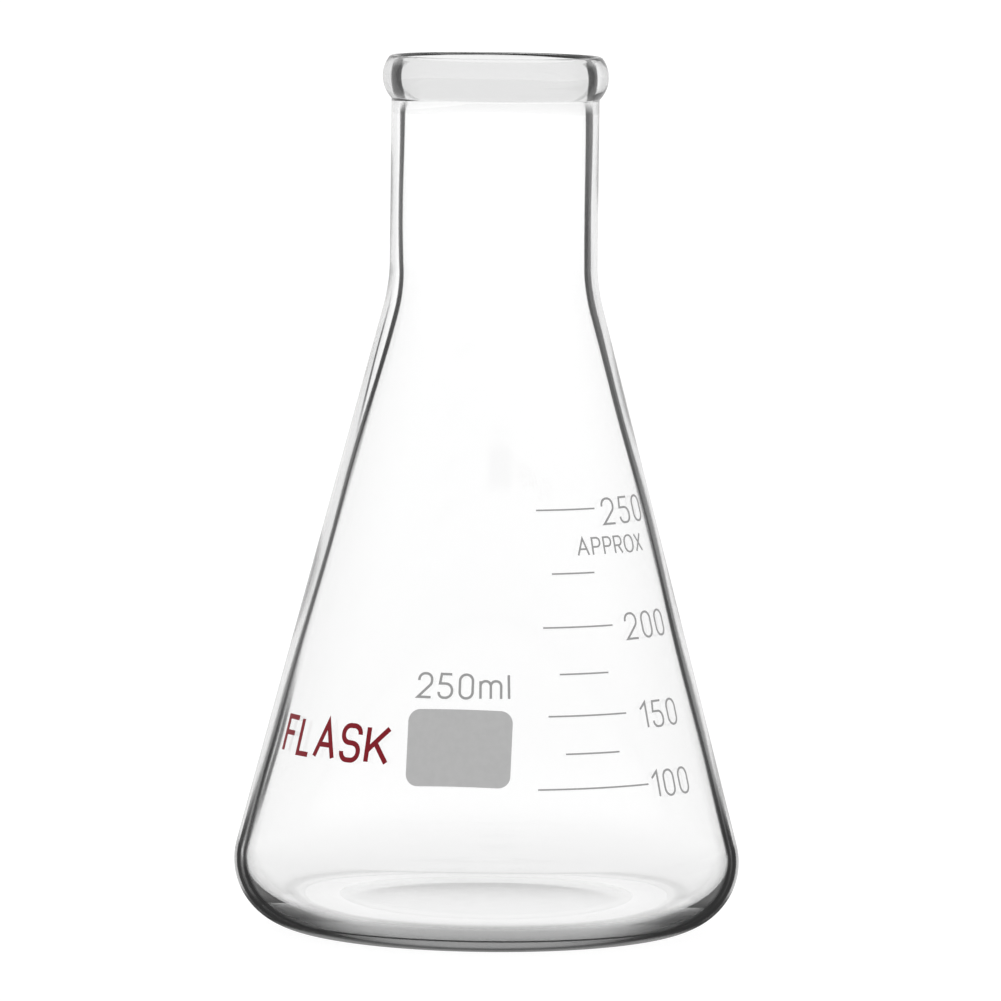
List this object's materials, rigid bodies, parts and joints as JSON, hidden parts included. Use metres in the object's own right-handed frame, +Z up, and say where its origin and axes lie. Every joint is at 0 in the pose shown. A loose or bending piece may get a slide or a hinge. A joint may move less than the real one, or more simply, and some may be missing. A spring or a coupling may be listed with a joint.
{
  "type": "erlenmeyer flask",
  "caption": "Conical glass laboratory flask with a flat base, straight narrow neck and beaded rim, with fired enamel graduations, capacity label and writing spot.",
  "frame": {"origin": "centre of the resting ring under the base, on the plane the flask stands on", "axes": "+Z up along the flask's axis through the mouth; -Y faces the viewer and carries the writing spot; +X is the viewer's right, towards the graduation scale"},
  "size_m": [0.085, 0.085, 0.1465],
  "materials": {
    "glass": "polished",
    "grey_enamel": "satin",
    "red_enamel": "satin"
  },
  "bodies": {
    "root": {"flask_body": "glass", "line_100": "grey_enamel", "line_125": "grey_enamel", "line_150": "grey_enamel", "line_175": "grey_enamel", "line_200": "grey_enamel", "line_225": "grey_enamel", "line_250": "grey_enamel", "numeral_100": "grey_enamel", "numeral_150": "grey_enamel", "numeral_200": "grey_enamel", "numeral_250": "grey_enamel", "approx_note": "grey_enamel", "capacity_label": "grey_enamel", "writing_spot": "grey_enamel", "flask_word": "red_enamel"}
  },
  "joints": []
}
